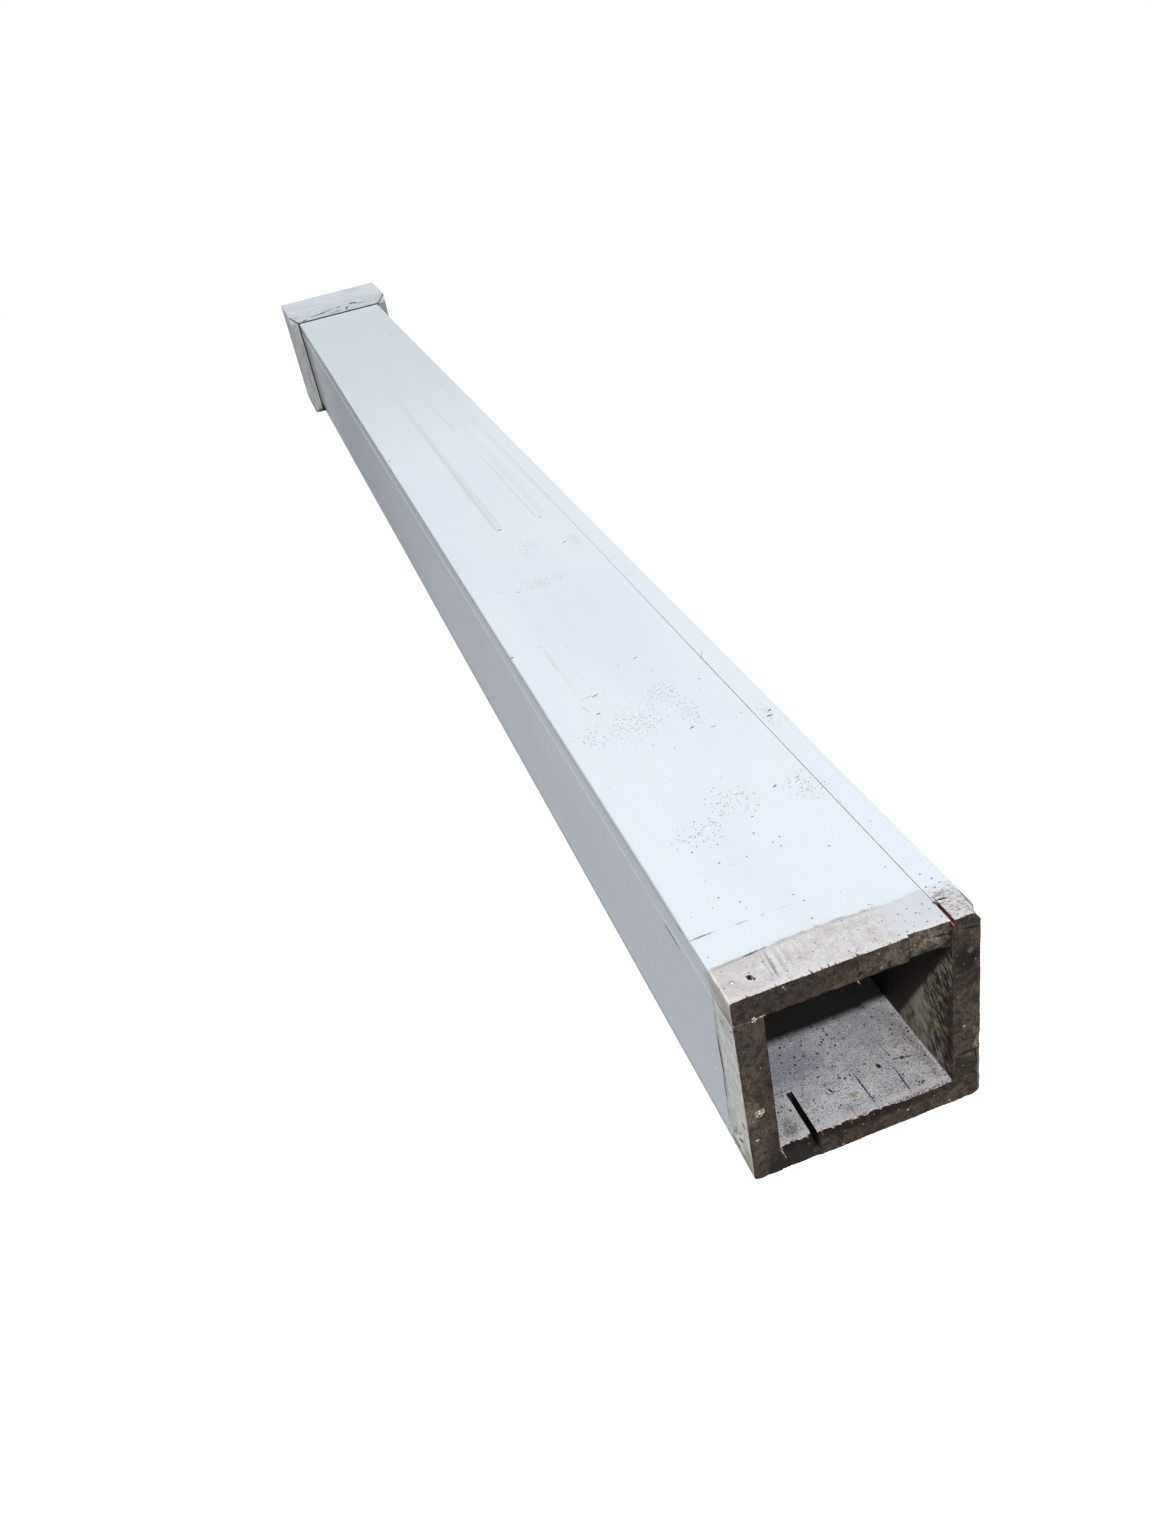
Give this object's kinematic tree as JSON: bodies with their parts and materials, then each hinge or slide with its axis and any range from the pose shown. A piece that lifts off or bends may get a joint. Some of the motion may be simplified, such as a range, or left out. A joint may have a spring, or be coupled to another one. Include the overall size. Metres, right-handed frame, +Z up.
{
  "type": "column wrap",
  "caption": "Hollow square box of lapped painted boards that closes around a post, with a mitred board collar at its head and a rough sawn open foot.",
  "frame": {"origin": "on the ground under the middle of the box that bounds the wrap as it lies", "axes": "+Y from the sawn foot to the collar at the head, +X to the right seen from the foot, +Z up; the shaft rises 0.467 degrees towards the head because it lies on its collar"},
  "size_m": [0.1924, 2.2014, 0.1903],
  "materials": {
    "shaft_paint": "weathered white paint, satin, with dirt and bare dark end grain at the sawn foot",
    "collar_paint": "weathered white paint, dirtier along its lower edge",
    "nail_steel": "small round head with a skin of paint"
  },
  "bodies": {
    "root": {"shaft_board_top": "shaft_paint", "shaft_board_right": "shaft_paint", "shaft_board_bottom": "shaft_paint", "shaft_board_left": "shaft_paint", "collar_board_top": "collar_paint", "collar_board_right": "collar_paint", "collar_board_bottom": "collar_paint", "collar_board_left": "collar_paint", "finish_nail": "nail_steel"}
  },
  "joints": []
}
